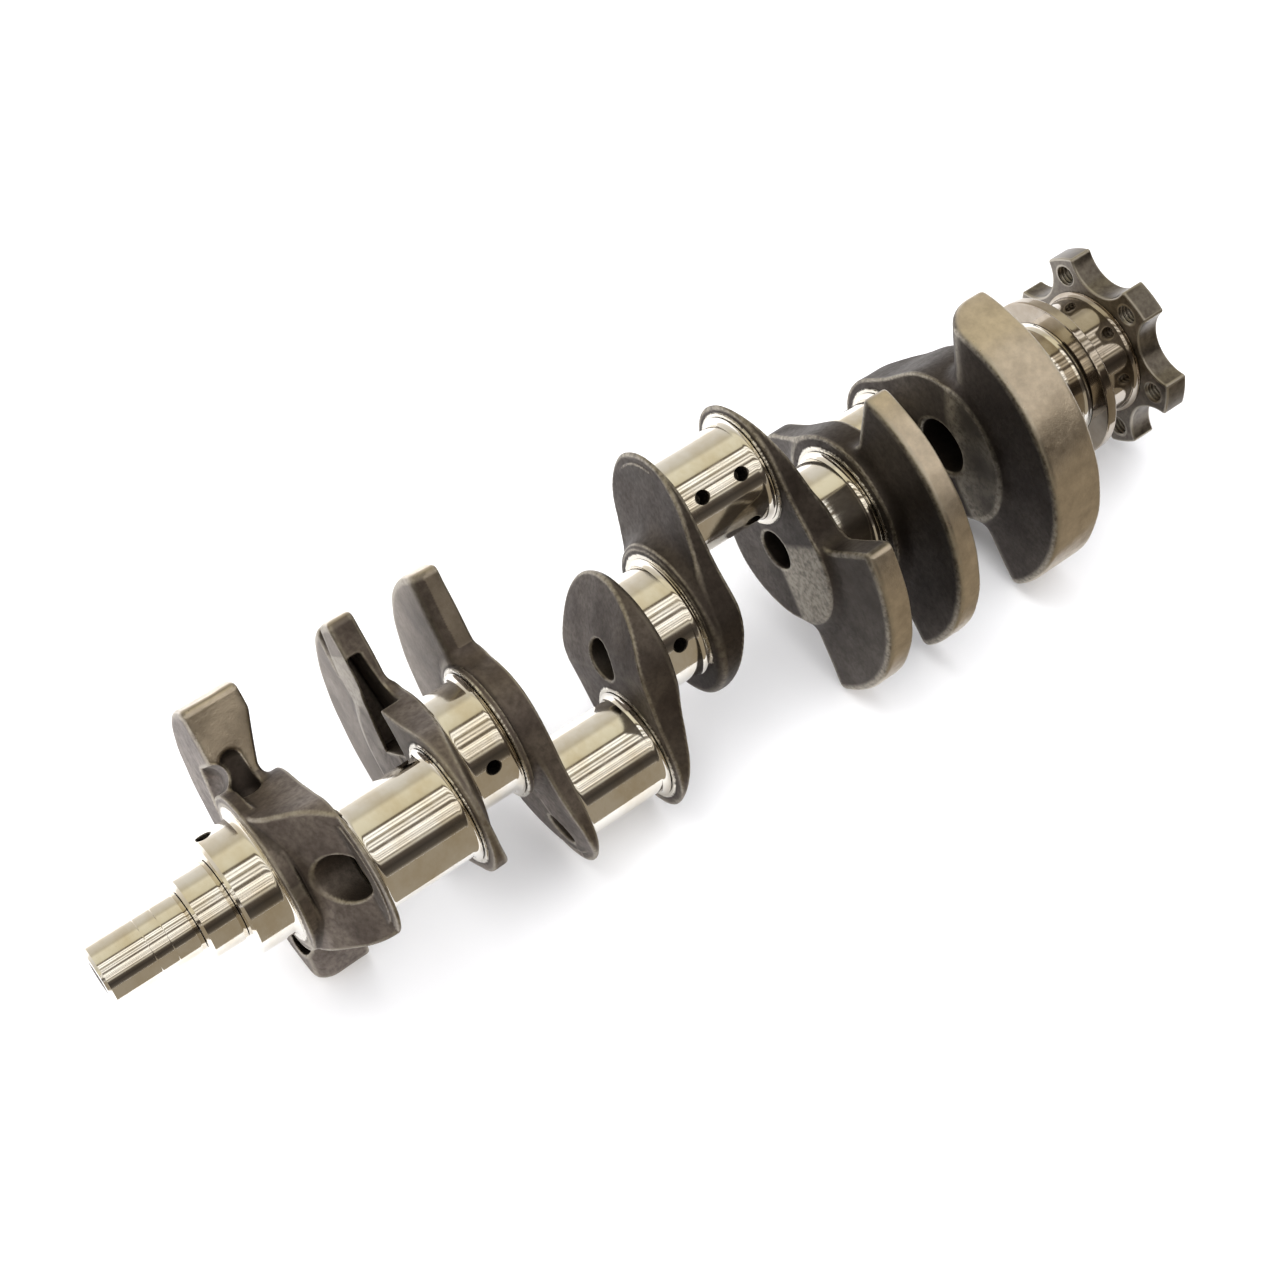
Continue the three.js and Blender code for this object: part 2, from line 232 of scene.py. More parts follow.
# Each web lies between a main journal and a rod journal. u runs from 0 at its main journal to the
# web's thickness at its rod journal; s runs from the main axis towards the rod journal's axis.
# main, pin: which journals it joins, counted from 0. hub, boss: its radius round each of them.
# blend: width of the soft hollow between hub and arm, where it isn't HUB_BLEND.
# ramps: each falls away from the main-side face, from one (s, u) to another near the boss tip.
# slope: the rod-side face drops towards the hub's far end, from one (s, u) to another.
# rings: (radius, start u, end u) of turned steps round the hub.
# bore: which bores open through it. bore_r, bore_offset: where the rod bore isn't the usual one.
# weight: arc of the counterweight in degrees, its two faces along x, the radii of their outer
# edges, and how far each flank is rounded into the front face. waist: inside the first radius its
# rear face draws in towards the hub, by the second number at most.
# join: fillet to the counterweight, where it isn't WEIGHT_FILLET. flank_highlight: how far a painted
# highlight lightens its last flank to the turned colour.
# slots: each recess behind a thin wall: x of the wall, x of its rear at the tip and at the hub, its
# reach along the last flank, its depth below the flank and its rise above it.
# pockets: start and end (x, radius, degrees) of each hollow, its radius at each end.
WEBS = [
    {"main": 0, "pin": 0, "flank_highlight": 1.0, "join": 5, "hub": 36.5,
     "ramps": [((30, 1), (66, 29))], "rings": [(42.5, -0.4, 7.0)],
     "bore": "pin main",
     "weight": {"arc": (-114, 41), "x": (-223, -192), "edges": (3, 3), "flanks": (12, 6),
                "waist": (72, 9)},
     "pockets": [((-222.5, 50.5, 41), (-222.5, 50.5, 12), 7, 7),
                 ((-222.5, 50.5, 12), (-223.5, 49, -20), 7, 5),
                 ((-211.5, 54, 42), (-211.5, 38, 42), 5.5, 6.5),
                 ((-229, 52, -112), (-214, 70, -100), 7, 7)]},
    {"main": 1, "pin": 0, "hub": 40.0, "ramps": [((30, 1), (84, 15))], "bore": "",
     "weight": {"arc": (-94, 38), "x": (-143, -128), "edges": (2, 2), "flanks": (8, 2.5)},
     "slots": [((-140.8, -134, -129.5), (15, 66), 26, 14)],
     "pockets": [((-144.2, 84, 23), (-144, 64, 11), 4.8, 1.9)]},
    {"main": 1, "pin": 1, "flank_highlight": 0.4, "hub": 34.0,
     "ramps": [((-20, 6.5), (50, 9.5)), ((45, 7), (82, 17.5))],
     "bore": "pin main", "bore_r": 9.0, "bore_offset": 17.0, "blend": 6,
     "weight": {"arc": (-51, 43), "x": (-98.5, -83), "edges": (2, 2), "flanks": (9, 12)}},
    {"main": 2, "pin": 1, "hub": 40.0, "ramps": [((22, 1), (80, 17))], "bore": "main",
     "slope": ((-1, 18.6), (-41, 3.2))},
    {"main": 2, "pin": 2, "hub": 41.5, "ramps": [((6, 4), (82, 16.8))], "bore": "",
     "rings": [(39.4, 0.2, 6)], "slope": ((-3, 18.6), (-43, 6))},
    {"main": 3, "pin": 2, "hub": 40.0, "boss": 35.6, "ramps": [((20, 1), (82, 16.5))],
     "bore": "pin main",
     "weight": {"arc": (130, 225), "x": (83, 98.5), "edges": (1.5, 1.5), "flanks": (2.5, 5)}},
    {"main": 3, "pin": 3, "hub": 40.0, "ramps": [((30, 1), (84, 12))], "bore": "",
     "weight": {"arc": (85, 215), "x": (128.6, 143), "edges": (1.8, 1.8), "flanks": (3, 8)}},
    {"main": 4, "pin": 3, "hub": 41.0, "ramps": [((30, 1), (80, 28))], "bore": "pin rear",
     "weight": {"arc": (71, 217), "x": (193.5, 225.6), "edges": (2, 3), "flanks": (22, 9)}},
]


def web_frame(web):
    """(x of the main-side face, +1 or -1 towards the rod journal, thickness)."""
    main_behind = web["main"] > web["pin"]
    if main_behind:
        main_x, pin_x = MAINS[web["main"]][0], PINS[web["pin"]][1]
    else:
        main_x, pin_x = MAINS[web["main"]][1], PINS[web["pin"]][0]
    return main_x, (-1 if main_behind else 1), abs(pin_x - main_x)


def weight_distance(weight, x, y, z):
    """A counterweight: a thick sector of a disc."""
    first, last = (math.radians(angle) for angle in weight["arc"])
    front, rear = weight["x"]
    front_edge, rear_edge = weight["edges"]
    disc = np.hypot(y, z) - COUNTERWEIGHT_R
    flank_1 = y * math.sin(first) - z * math.cos(first)
    flank_2 = z * math.cos(last) - y * math.sin(last)
    soft_1, soft_2 = weight["flanks"]
    flank_1 = round_max(flank_1, front - x, soft_1)
    flank_2 = round_max(flank_2, front - x, soft_2)
    sector = round_max(disc, round_max(flank_1, flank_2, 3), 4)
    body = round_max(sector, front - x, front_edge)
    waist_r, waist_depth = weight.get("waist", (0, 0))
    drawn_in = np.clip((waist_r - np.hypot(y, z)) * WAIST_SLOPE, 0, waist_depth)
    return round_max(body, x + drawn_in - rear, rear_edge)


def tapered_capsule(x, y, z, start, end, first_r, last_r):
    """A round-ended hollow between two (x, radius, degrees) points."""
    a = np.array((start[0], *polar(start[1], start[2])))
    b = np.array((end[0], *polar(end[1], end[2])))
    line = b - a
    offset = (x - a[0]) * line[0] + (y - a[1]) * line[1] + (z - a[2]) * line[2]
    part = np.clip(offset / line.dot(line), 0, 1)
    away = (x - a[0] - part * line[0]) ** 2 + (y - a[1] - part * line[1]) ** 2
    away = away + (z - a[2] - part * line[2]) ** 2
    return np.sqrt(away) - (first_r + part * (last_r - first_r))


def slot_distance(slot, flank, x, y, z):
    """A recess behind a thin wall, open on the flank and wider towards the shaft."""
    (wall, rear_tip, rear_hub), (inner, outer), depth, rise = slot
    along = y * math.cos(math.radians(flank)) + z * math.sin(math.radians(flank))
    down = y * math.sin(math.radians(flank)) - z * math.cos(math.radians(flank))
    part = np.clip((outer - along) / (outer - inner), 0, 1)
    rear = rear_tip + (rear_hub - rear_tip) * part
    wall_edge = SLOT_LEAN * np.maximum(outer - SLOT_LIP - along, 0)
    front = wall - x + 2 * np.minimum(down - wall_edge, 0)
    ends = round_max(inner - along, along - outer, 2)
    across = round_max(front, x - rear, 1.5)
    return round_max(round_max(across, ends, 1.5), np.maximum(down - depth, -down - rise), 1.5)


def web_distance(web):
    main_x, turn, thick = web_frame(web)
    angle = math.radians(PIN_ANGLES[web["pin"]])
    cosine, sine = math.cos(angle), math.sin(angle)
    boss = web.get("boss", BOSS_R)
    bore_offset = web.get("bore_offset", PIN_BORE_OFFSET)
    bore_r = web.get("bore_r", PIN_BORE_R)
    weight = web.get("weight")
    half_pad = PAD_DEPTH / 2

    def tilted(line, s, u):
        """The half space beyond a plane that leans from one (s, u) to another."""
        (s0, u0), (s1, u1) = line
        steep = (u1 - u0) / (s1 - s0)
        return (u0 + (s - s0) * steep - u) / math.hypot(1, steep)

    def distance(x, y, z):
        u = turn * (x - main_x)
        s = y * cosine + z * sine
        t = z * cosine - y * sine
        radius = np.hypot(s, t)
        pin_radius = np.hypot(s - THROW, t)
        front = PAD - u
        for ramp in web["ramps"]:
            front = round_max(front, np.minimum(tilted(ramp, s, u), thick - RIM - u), RAMP_ROUNDING)
        body = round_max(uneven_capsule(s, t, web["hub"], boss, THROW), front, ARM_EDGE)
        hub = round_max(radius - web["hub"], PAD - u, HUB_EDGE)
        body = smooth_min(hub, body, web.get("blend", HUB_BLEND))
        for ring_r, ring_start, ring_end in web.get("rings", ()):
            ring = round_max(radius - ring_r, np.maximum(ring_start - u, u - ring_end), RING_EDGE)
            body = round_min(body, ring, RING_FILLET)
        back = u - (thick - PAD)
        if "slope" in web:
            back = round_max(back, -tilted(web["slope"], s, u), SLOPE_ROUNDING)
        body = round_max(body, back, BACK_EDGE)
        if weight:
            fillet = web.get("join", WEIGHT_FILLET)
            body = round_min(body, weight_distance(weight, x, y, z), fillet)
            ends = [turn * (end - main_x) for end in weight["x"]]
            low = min([PAD] + ends + [ring[1] for ring in web.get("rings", ())])
            high = max(thick - PAD, max(ends))
            body = round_max(round_max(body, low - u, 1), u - high, 1)
        for slot in web.get("slots", ()):
            body = cut(body, slot_distance(slot, weight["arc"][1], x, y, z), 1)
        for start, end, first_r, last_r in web.get("pockets", ()):
            body = cut(body, tapered_capsule(x, y, z, start, end, first_r, last_r), POCKET_MOUTH)
        body = body + ripple(x, y, z, WAVE_DEPTH, WAVE_LENGTH)
        main_band = np.abs(u - half_pad) - half_pad + GAP / 2
        pin_band = np.abs(u - thick + half_pad) - half_pad + GAP / 2
        main_pad = round_max(radius - (MAIN_R + PAD_WIDTH), main_band, PAD_EDGE)
        pin_pad = round_max(pin_radius - (PIN_R + PAD_WIDTH), pin_band, PAD_EDGE)
        body = round_min(body, main_pad, PAD_FILLET)
        body = round_min(body, pin_pad, PAD_FILLET)
        if "pin" in web["bore"]:
            body = cut(body, np.hypot(s - THROW - bore_offset, t) - bore_r, BORE_MOUTH)
        if "main" in web["bore"]:
            body = cut(body, radius - MAIN_BORE_R, BORE_MOUTH)
        if "rear" in web["bore"]:
            body = cut(body, radius - REAR_MAIN_BORE_R, REAR_BORE_MOUTH)
        return body

    return distance


def pad_mask(web, points):
    """1 on the ground pads round a web's two journals."""
    main_x, turn, thick = web_frame(web)
    y, z = PIN_CENTRES[web["pin"]]
    u = turn * (points[:, 0] - main_x)
    radius = np.hypot(points[:, 1], points[:, 2])
    pin_radius = np.hypot(points[:, 1] - y, points[:, 2] - z)
    face, past = 0.7, PAD_WIDTH + 0.3
    main = (np.abs(u) < face) & (radius < MAIN_R + past)
    pin = (np.abs(u - thick) < face) & (pin_radius < PIN_R + past)
    return (main | pin).astype(float)


# ---- Meshes from distance functions ----
def surface_net(distance, low, high, step):
    """Vertices on the zero surface and quads between them, in shaft millimetres."""
    axes = [np.arange(a, b + step, step, dtype=np.float32) for a, b in zip(low, high)]
    field = distance(*np.meshgrid(*axes, indexing="ij")).astype(np.float32)
    inside = field < 0
    cells = tuple(n - 1 for n in field.shape)
    corners = [(i, j, k) for i in (0, 1) for j in (0, 1) for k in (0, 1)]

    def shifted(grid, corner):
        return grid[tuple(slice(c, c + n) for c, n in zip(corner, cells))]

    count = sum(shifted(inside, corner).astype(np.int8) for corner in corners)
    active = (count > 0) & (count < 8)
    where = np.argwhere(active)
    index = np.full(cells, -1, dtype=np.int64)
    index[active] = np.arange(len(where))
    values = np.stack([shifted(field, corner)[active] for corner in corners], axis=1)
    total = np.zeros((len(where), 3))
    hits = np.zeros(len(where))
    for a in range(8):
        for b in range(a + 1, 8):
            start, end = np.array(corners[a]), np.array(corners[b])
            if np.abs(start - end).sum() != 1:
                continue
            crossing = (values[:, a] < 0) != (values[:, b] < 0)
            span = values[:, a] - values[:, b]
            part = np.where(crossing, values[:, a] / np.where(crossing, span, 1), 0)
            total += np.where(crossing[:, None], start + part[:, None] * (end - start), 0)
            hits += crossing
    vertices = np.array([axis[0] for axis in axes]) + (where + total / hits[:, None]) * step
    quads = []
    for axis in range(3):
        one, two = (axis + 1) % 3, (axis + 2) % 3
        edge_shape = list(field.shape)
        edge_shape[axis] -= 1
        first = inside[tuple(slice(0, n) for n in edge_shape)]
        second = inside[tuple(slice(1, None) if i == axis else slice(None) for i in range(3))]
        change = np.argwhere(first != second)
        keep = (change[:, one] > 0) & (change[:, two] > 0)
        keep &= (change[:, one] < cells[one]) & (change[:, two] < cells[two])
        change = change[keep]
        ring = []
        for step_one, step_two in ((1, 1), (0, 1), (0, 0), (1, 0)):
            cell = change.copy()
            cell[:, one] -= step_one
            cell[:, two] -= step_two
            ring.append(index[tuple(cell.T)])
        ring = np.stack(ring, axis=1)
        flip = ~first[tuple(change.T)]
        ring[flip] = ring[flip][:, ::-1]
        quads.append(ring)
    return vertices, np.concatenate(quads)


def gradient(distance, points, reach):
    slopes = []
    for axis in range(3):
        step = np.zeros(3)
        step[axis] = reach
        slopes.append((distance(*(points + step).T) - distance(*(points - step).T)) / (2 * reach))
    return np.stack(slopes, axis=1)


def settle(distance, points, limit):
    """Moves points on to the zero surface, none further than the limit."""
    start = points.copy()
    for _ in range(3):
        slope = gradient(distance, points, 0.05)
        size = np.maximum((slope ** 2).sum(axis=1), 0.05)
        move = (distance(*points.T) / size)[:, None] * slope
        points = points - np.clip(move, -limit, limit)
    return start + np.clip(points - start, -limit, limit)


def bend(distance, points, reach):
    """How sharply the surface bends: positive on outer edges, negative in hollows."""
    total = -6 * distance(*points.T)
    for axis in range(3):
        step = np.zeros(3)
        step[axis] = reach
        total = total + distance(*(points + step).T) + distance(*(points - step).T)
    return total / reach ** 2


def to_frame(points):
    """Shaft millimetres to frame metres."""
    matrix = np.array(SHAFT)
    return points @ matrix[:3, :3].T + matrix[:3, 3]


def build_mesh(name, points, faces, material):
    mesh = bpy.data.meshes.new(name)
    mesh.from_pydata(to_frame(points).tolist(), [], faces)
    mesh.materials.append(material)
    mesh.shade_smooth()
    piece = bpy.data.objects.new(name, mesh)
    bpy.context.scene.collection.objects.link(piece)
    return piece


def point_attribute(piece, name, kind, values):
    layer = piece.data.attributes.new(name, kind, "POINT")
    layer.data.foreach_set("vector" if kind == "FLOAT_VECTOR" else "value", np.ravel(values))


def settle_in(piece, slot, *nodes):
    """Attaches a finished piece to the root body and hides the imported parts it stands for."""
    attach(piece, "root")
    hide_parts(*nodes)


def carved(name, distance, low, high, step, material):
    """A piece meshed from its distance function, with its true normals; also its points."""
    points, quads = surface_net(distance, low, high, step)
    points = settle(distance, points, 0.75 * step)
    piece = build_mesh(name, points, quads.tolist(), material)
    normals = gradient(distance, points, NORMAL_REACH) @ SHAFT_ROTATION.T
    normals /= np.maximum(np.linalg.norm(normals, axis=1), 1e-6)[:, None]
    piece.data.normals_split_custom_set_from_vertices(normals.tolist())
    curve = bend(distance, points, BEND_REACH)
    point_attribute(piece, "shaft", "FLOAT_VECTOR", points)
    edge_from, edge_span, hollow_from, hollow_span = 0.16, 0.32, 0.03, 0.25
    point_attribute(piece, "edge", "FLOAT", np.clip((curve - edge_from) / edge_span, 0, 1))
    point_attribute(piece, "hollow", "FLOAT", np.clip((-curve - hollow_from) / hollow_span, 0, 1))
    return piece, points


def turned_rim_and_flank_highlight(web, points):
    """1 on the outer rim of a counterweight, which is turned to size, and, as a painted highlight, on the
    last flank of some webs.
    """
    radius = np.hypot(points[:, 1], points[:, 2])
    rim = np.clip((radius - (COUNTERWEIGHT_R - 1.2)) / 0.8, 0, 1)
    if "flank_highlight" not in web:
        return rim
    last = math.radians(web["weight"]["arc"][1])
    above = points[:, 2] * math.cos(last) - points[:, 1] * math.sin(last)
    flank = (np.abs(above) < 1.0) & (radius > HUB_R + HUB_MARGIN)
    return np.maximum(rim, flank * web["flank_highlight"])


# ---- Turned pieces ----
def arc(x, radius, size, start, end, steps=8):
    """Points (x, radius) of a round corner, from start to end degrees."""
    turns = [math.radians(start + (end - start) * i / steps) for i in range(steps + 1)]
    return [(x + size * math.cos(turn), radius + size * math.sin(turn)) for turn in turns]


def lathe(name, profile, centre, material):
    """A closed turned body; the profile is a list of (x, radius) that starts and ends on the axis."""
    inner = profile[1:-1]
    turn = np.arange(SEGMENTS) * 2 * math.pi / SEGMENTS
    cosine, sine = np.cos(turn), np.sin(turn)
    rings = [
        np.stack([np.full(SEGMENTS, x), centre[0] + r * cosine, centre[1] + r * sine], axis=1)
        for x, r in inner
    ]
    points = np.concatenate([np.concatenate(rings)] + [[[x, *centre]] for x, _ in (profile[0], profile[-1])])
    faces = []
    for ring in range(len(inner) - 1):
        for i in range(SEGMENTS):
            j = (i + 1) % SEGMENTS
            a, b = ring * SEGMENTS, (ring + 1) * SEGMENTS
            faces.append((a + i, a + j, b + j, b + i))
    front, rear = len(points) - 2, len(points) - 1
    last = (len(inner) - 1) * SEGMENTS
    for i in range(SEGMENTS):
        j = (i + 1) % SEGMENTS
        faces.append((front, j, i))
        faces.append((rear, last + i, last + j))
    return build_mesh(name, points, faces, material)


def drill(start, direction, length, radius, mouth, segments=40):
    """A cutter along a line into the metal, its outer end flared into a rounded mouth."""
    start, direction = np.array(start, float), np.array(direction, float)
    direction /= np.linalg.norm(direction)
    side = np.cross(direction, (1, 0, 0) if abs(direction[0]) < 0.9 else (0, 1, 0))
    side /= np.linalg.norm(side)
    other = np.cross(direction, side)
    flare = [math.radians(90 - 15 * i) for i in range(7)]
    stations = [(CLEAR, radius + mouth + CLEAR)]
    stations += [(mouth * (math.sin(a) - 1), radius + mouth * (1 - math.cos(a))) for a in flare]
    stations += [(-length, radius), (-length - 0.6 * radius, 0.01)]
    turn = np.arange(segments) * 2 * math.pi / segments
    circle = np.cos(turn)[:, None] * side + np.sin(turn)[:, None] * other
    rings = [start + direction * along + r * circle for along, r in stations]
    points = np.concatenate(rings + [[start + direction * CLEAR]])
    faces = []
    for ring in range(len(stations) - 1):
        for i in range(segments):
            j = (i + 1) % segments
            a, b = ring * segments, (ring + 1) * segments
            faces.append((a + i, b + i, b + j, a + j))
    top, last = len(points) - 1, (len(stations) - 1) * segments
    faces += [(top, i, (i + 1) % segments) for i in range(segments)]
    faces.append(tuple(last + i for i in reversed(range(segments))))
    return build_mesh("cutter", points, faces, bpy.data.materials["drilled_steel_painted_shade"])


def bake_modifiers(piece):
    """Swaps a piece's mesh for the one that its modifiers make."""
    graph = bpy.context.evaluated_depsgraph_get()
    baked = bpy.data.meshes.new_from_object(piece.evaluated_get(graph), depsgraph=graph)
    piece.modifiers.clear()
    old = piece.data
    piece.data = baked
    baked.name = piece.name
    bpy.data.meshes.remove(old)


def finish_turned(piece, cutters, node):
    """Cuts the drillings, keeps the edges crisp and gives the shaders their coordinates."""
    for cutter in cutters:
        boolean = piece.modifiers.new("cut", "BOOLEAN")
        boolean.operation = "DIFFERENCE"
        boolean.solver = "EXACT"
        boolean.material_mode = "TRANSFER"
        boolean.object = cutter
    bake_modifiers(piece)
    for cutter in cutters:
        bpy.data.objects.remove(cutter)
    piece.data.shade_smooth()
    piece.data.set_sharp_from_angle(angle=math.radians(35))
    weighted = piece.modifiers.new("normals", "WEIGHTED_NORMAL")
    weighted.keep_sharp = True
    weighted.weight = 60
    bake_modifiers(piece)
    inverse = np.array(SHAFT.inverted())
    points = np.empty(len(piece.data.vertices) * 3)
    piece.data.vertices.foreach_get("co", points)
    points = points.reshape(-1, 3) @ inverse[:3, :3].T + inverse[:3, 3]
    point_attribute(piece, "shaft", "FLOAT_VECTOR", points)
    settle_in(piece, "ground_steel", node)


def journal_profile(radius, x0, x1, open_front=False):
    """A ground journal between its two rolled fillets, or with a bevelled open front."""
    front = arc(x0 + FILLET, radius + FILLET, FILLET, 180, 270)
    if open_front:
        front = [(x0, radius - BEVEL), (x0 + BEVEL, radius)]
    rear = arc(x1 - FILLET, radius + FILLET, FILLET, 270, 360)
    return [(x0, 0)] + front + rear + [(x1, 0)]


def oil_drill(x, radius, degrees, centre):
    direction = (0, *polar(1, degrees))
    start = (x, centre[0] + radius * direction[1], centre[1] + radius * direction[2])
    return drill(start, direction, OIL_HOLE_DEPTH, OIL_HOLE_R, OIL_HOLE_MOUTH)


def bore_drill(x, centre, radius, turn, length, mouth=0.8):
    """A bore along the shaft that opens at x, towards +x or -x."""
    return drill((x, *centre), (turn, 0, 0), length, radius, mouth, 64)


# ---- Materials ----
def new_material(name):
    """A bare metal, with its tree and its shader."""
    material = bpy.data.materials.new(name)
    material.use_nodes = True
    shader = material.node_tree.nodes["Principled BSDF"]
    shader.inputs["Metallic"].default_value = 1.0
    return material, material.node_tree, shader


def add_node(tree, kind, **settings):
    node = tree.nodes.new(kind)
    for key, value in settings.items():
        setattr(node, key, value)
    return node


def noise(tree, vector, scale, detail=4.0, roughness=0.55, stretch=(1, 1, 1)):
    """A noise value over the shaft's millimetres; scale is features per millimetre."""
    mapping = add_node(tree, "ShaderNodeMapping")
    mapping.inputs["Scale"].default_value = stretch
    texture = add_node(tree, "ShaderNodeTexNoise")
    texture.inputs["Scale"].default_value = scale
    texture.inputs["Detail"].default_value = detail
    texture.inputs["Roughness"].default_value = roughness
    tree.links.new(vector, mapping.inputs["Vector"])
    tree.links.new(mapping.outputs["Vector"], texture.inputs["Vector"])
    return texture.outputs["Fac"]


def remap(tree, value, low, high, to_low, to_high):
    node = add_node(tree, "ShaderNodeMapRange")
    node.inputs["From Min"].default_value = low
    node.inputs["From Max"].default_value = high
    node.inputs["To Min"].default_value = to_low
    node.inputs["To Max"].default_value = to_high
    tree.links.new(value, node.inputs["Value"])
    return node.outputs["Result"]


def math_node(tree, operation, a, b):
    node = add_node(tree, "ShaderNodeMath", operation=operation)
    for socket, value in zip(node.inputs, (a, b)):
        if isinstance(value, (int, float)):
            socket.default_value = value
        else:
            tree.links.new(value, socket)
    return node.outputs["Value"]


def blend_colors(tree, factor, a, b):
    node = add_node(tree, "ShaderNodeMix", data_type="RGBA")
    tree.links.new(factor, node.inputs["Factor"])
    for socket, value in ((node.inputs[6], a), (node.inputs[7], b)):
        if isinstance(value, tuple):
            socket.default_value = (*value, 1)
        else:
            tree.links.new(value, socket)
    return node.outputs[2]


def attribute(tree, name):
    return add_node(tree, "ShaderNodeAttribute", attribute_name=name)


def bump(tree, shader, height, strength, distance, after=None):
    node = add_node(tree, "ShaderNodeBump")
    node.inputs["Strength"].default_value = strength
    node.inputs["Distance"].default_value = distance
    tree.links.new(height, node.inputs["Height"])
    if after is not None:
        tree.links.new(after, node.inputs["Normal"])
    tree.links.new(node.outputs["Normal"], shader.inputs["Normal"])
    return node.outputs["Normal"]


def ground_steel(name, clean, stained):
    """Ground and polished, with fine rings round the axis and a warm stain."""
    material, tree, shader = new_material(name)
    place = attribute(tree, "shaft").outputs["Vector"]
    rings = noise(tree, place, 1.0, 3, 0.6, (6.0, 0.02, 0.02))
    stain = noise(tree, place, 0.05, 4, 0.6, (1.0, 0.7, 0.7))
    smudge = noise(tree, place, 0.22, 3, 0.5, (0.4, 1.0, 1.0))
    tint = blend_colors(tree, remap(tree, stain, 0.40, 0.68, 0, 1), clean, stained)
    tree.links.new(tint, shader.inputs["Base Color"])
    grinding = remap(tree, rings, 0.3, 0.7, 0.03, 0.09)
    handling = remap(tree, smudge, 0.45, 0.75, 0, 0.07)
    tree.links.new(math_node(tree, "ADD", grinding, handling), shader.inputs["Roughness"])
    bump(tree, shader, rings, 0.10, 0.00004)
    return material


def drilled_steel_painted_shade():
    """The wall of a drilling, near black in painted shade, with the drill's rings."""
    dark, light = (0.07, 0.062, 0.054), (0.20, 0.18, 0.155)
    material, tree, shader = new_material("drilled_steel_painted_shade")
    place = attribute(tree, "shaft").outputs["Vector"]
    grain = noise(tree, place, 1.2, 3, 0.6)
    tint = blend_colors(tree, remap(tree, grain, 0.35, 0.65, 0, 1), dark, light)
    tree.links.new(tint, shader.inputs["Base Color"])
    tree.links.new(remap(tree, grain, 0.3, 0.7, 0.35, 0.55), shader.inputs["Roughness"])
    bump(tree, shader, grain, 0.3, 0.0002)
    return material


def forged_steel():
    """A shot-peened forging: warm grey, mottled, its edges rubbed lighter, its rims turned.

    A painted shade darkens it from the front of the shaft to the middle, and it stays at its darkest behind
    that.
    """
    dark, light, spots = (0.140, 0.115, 0.102), (0.250, 0.214, 0.188), (0.095, 0.081, 0.072)
    painted_rear_shade, shade = (0.030, 0.024, 0.021), (0.06, 0.052, 0.046)
    turned_dark, turned_light = (0.50, 0.43, 0.345), (0.68, 0.59, 0.475)
    rubbed, ground_pad = (0.46, 0.42, 0.35), (0.70, 0.66, 0.58)
    rear_shade_start, rear_shade_end, rear_shade_most = -80, 20, 0.70
    material, tree, shader = new_material("forged_steel")
    place = attribute(tree, "shaft").outputs["Vector"]
    edge = attribute(tree, "edge").outputs["Fac"]
    hollow = attribute(tree, "hollow").outputs["Fac"]
    turned = attribute(tree, "turned").outputs["Fac"]
    blotch = noise(tree, place, 0.045, 5, 0.6)
    mottle = noise(tree, place, 0.35, 4, 0.6)
    peen = noise(tree, place, 1.3, 2, 0.5)
    scratch = noise(tree, place, 0.11, 7, 0.68)
    skin = blend_colors(tree, remap(tree, blotch, 0.38, 0.62, 0, 1), dark, light)
    skin = blend_colors(tree, remap(tree, mottle, 0.40, 0.68, 0, 0.5), skin, spots)
    parts = add_node(tree, "ShaderNodeSeparateXYZ")
    tree.links.new(place, parts.inputs["Vector"])
    # painted shade: the skin darkens from x = -80 to x = 20 and stays darkest behind, for the shade on the
    # rear webs
    rear_shaded = remap(tree, parts.outputs["X"], rear_shade_start, rear_shade_end, 0, rear_shade_most)
    skin = blend_colors(tree, rear_shaded, skin, painted_rear_shade)
    rim = blend_colors(tree, remap(tree, scratch, 0.35, 0.65, 0, 1), turned_dark, turned_light)
    # turned colour: real on the turned counterweight rims, a painted highlight on the lightened last flanks
    skin = blend_colors(tree, turned, skin, rim)
    skin = blend_colors(tree, math_node(tree, "MULTIPLY", hollow, 0.6), skin, shade)
    worn = math_node(tree, "MULTIPLY", edge, remap(tree, mottle, 0.35, 0.6, 0.25, 0.8))
    color = blend_colors(tree, worn, skin, rubbed)
    pad = attribute(tree, "pad").outputs["Fac"]
    color = blend_colors(tree, pad, color, ground_pad)
    tree.links.new(color, shader.inputs["Base Color"])
    rough = remap(tree, mottle, 0.3, 0.7, 0.50, 0.62)
    rough = math_node(tree, "SUBTRACT", rough, math_node(tree, "MULTIPLY", pad, 0.34))
    rough = math_node(tree, "SUBTRACT", rough, math_node(tree, "MULTIPLY", turned, 0.22))
    rough = math_node(tree, "SUBTRACT", rough, math_node(tree, "MULTIPLY", worn, 0.10))
    tree.links.new(rough, shader.inputs["Roughness"])
    grain = bump(tree, shader, peen, 0.22, 0.0003)
    bump(tree, shader, mottle, 0.25, 0.0004, grain)
    return material


